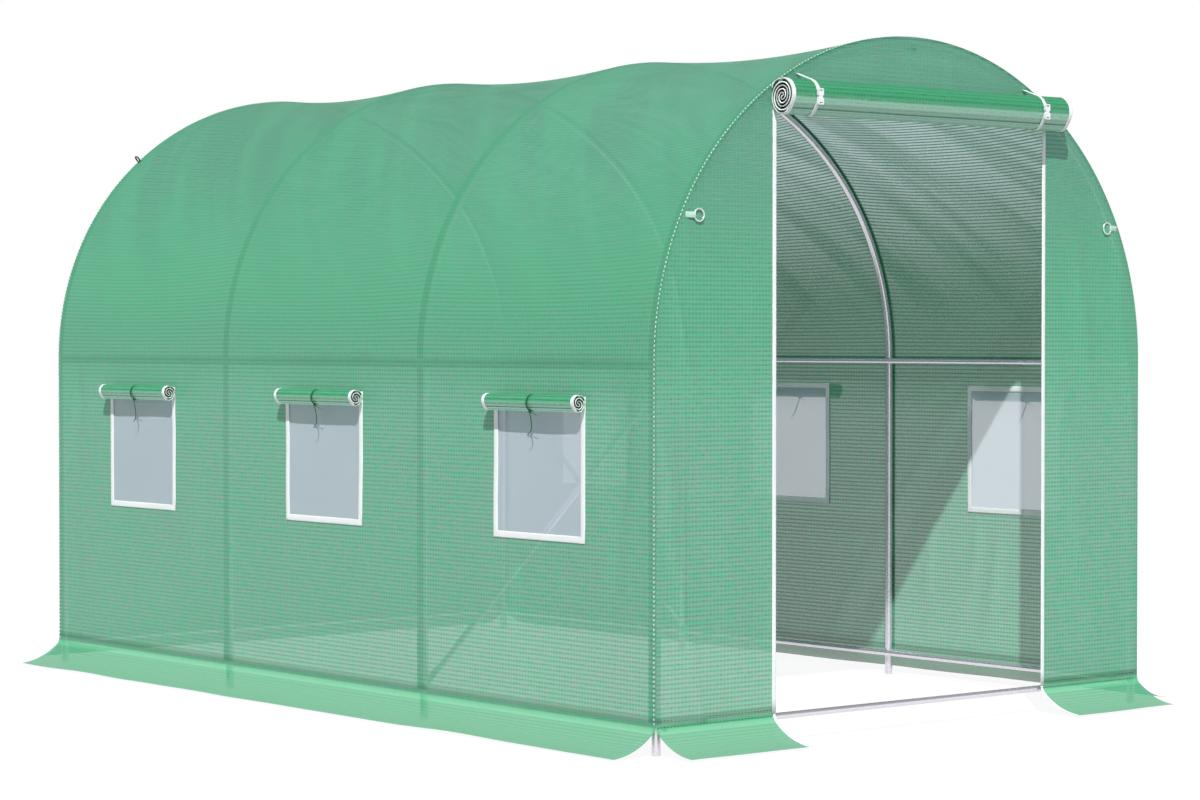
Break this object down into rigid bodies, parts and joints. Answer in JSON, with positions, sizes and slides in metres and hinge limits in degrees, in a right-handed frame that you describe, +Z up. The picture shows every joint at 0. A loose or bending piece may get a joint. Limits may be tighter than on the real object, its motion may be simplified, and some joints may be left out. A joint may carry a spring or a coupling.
{
  "type": "polytunnel greenhouse",
  "caption": "Walk-in polytunnel: bent steel hoops and rails under a green sheet cover, with a rolled-up door, side windows with rolled blinds and ground flaps all round.",
  "frame": {"origin": "on the ground at the middle of the tunnel's footprint", "axes": "+X to the right seen from the doorway, +Y along the tunnel away from the doorway, +Z up"},
  "size_m": [2.3, 3.56, 2.0331],
  "materials": {
    "galvanised_steel": "galvanised, dull",
    "cover_sheet": "translucent woven polythene sheet with a reinforcing grid",
    "window_netting": "fine grey insect netting",
    "white_binding": "white sewn binding tape",
    "white_webbing": "white webbing",
    "white_plastic": "moulded white plastic",
    "green_tape": "dark green tie tape",
    "ring_wire": "plated wire"
  },
  "bodies": {
    "root": {"left_legs": "galvanised_steel", "right_legs": "galvanised_steel", "front_arch": "galvanised_steel", "second_arch": "galvanised_steel", "third_arch": "galvanised_steel", "rear_arch": "galvanised_steel", "left_hip_rail": "galvanised_steel", "right_hip_rail": "galvanised_steel", "ridge_rail": "galvanised_steel", "left_base_rail": "galvanised_steel", "right_base_rail": "galvanised_steel", "front_sill": "galvanised_steel", "rear_sill": "galvanised_steel", "left_brace": "galvanised_steel", "right_brace": "galvanised_steel", "front_bay_roof": "cover_sheet", "middle_bay_roof": "cover_sheet", "rear_bay_roof": "cover_sheet", "left_wall": "cover_sheet", "right_wall": "cover_sheet", "front_left_panel": "cover_sheet", "front_right_panel": "cover_sheet", "front_top_panel": "cover_sheet", "rear_wall": "cover_sheet", "left_skirt": "cover_sheet", "right_skirt": "cover_sheet", "front_left_skirt": "cover_sheet", "front_right_skirt": "cover_sheet", "rear_skirt": "cover_sheet", "door_curtain": "cover_sheet", "left_rolled_blinds": "cover_sheet", "right_rolled_blinds": "cover_sheet", "left_window_screens": "window_netting", "right_window_screens": "window_netting", "door_bindings": "white_binding", "left_window_frames": "white_binding", "right_window_frames": "white_binding", "curtain_straps": "white_webbing", "strap_buckles": "white_plastic", "left_blind_ties": "green_tape", "right_blind_ties": "green_tape", "front_ring_tabs": "white_webbing", "rear_ring_tabs": "white_webbing", "front_guy_rings": "ring_wire", "rear_guy_rings": "ring_wire"}
  },
  "joints": []
}
